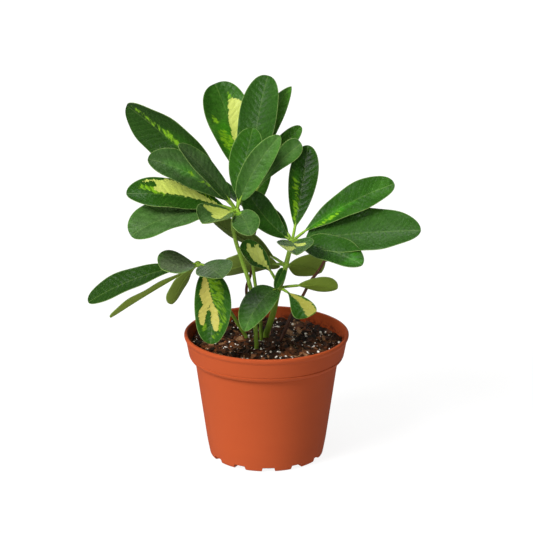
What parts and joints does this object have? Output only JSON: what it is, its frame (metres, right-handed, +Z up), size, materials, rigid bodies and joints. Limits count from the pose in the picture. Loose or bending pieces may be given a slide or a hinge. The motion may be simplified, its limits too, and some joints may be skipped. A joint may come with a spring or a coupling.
{
  "type": "potted umbrella plant",
  "caption": "Small variegated dwarf umbrella tree with glossy whorled leaflets on slim stalks, rooted in bark potting mix in a round tapered nursery pot with a deep rim band.",
  "frame": {"origin": "middle of the pot's underside, on the surface it stands on", "axes": "+Z up along the pot's axis, +X to the right and -Y towards the viewer of the picture"},
  "size_m": [0.2131, 0.1327, 0.2494],
  "materials": {
    "pot_plastic": "satin",
    "potting_mix": "matte",
    "foliage": "satin"
  },
  "bodies": {
    "root": {"pot": "pot_plastic", "potting_mix": "potting_mix", "frond_tall_left": "foliage", "frond_top": "foliage", "frond_low_left": "foliage", "leafy_stem": "foliage", "frond_right_rear": "foliage", "frond_rear": "foliage"}
  },
  "joints": []
}
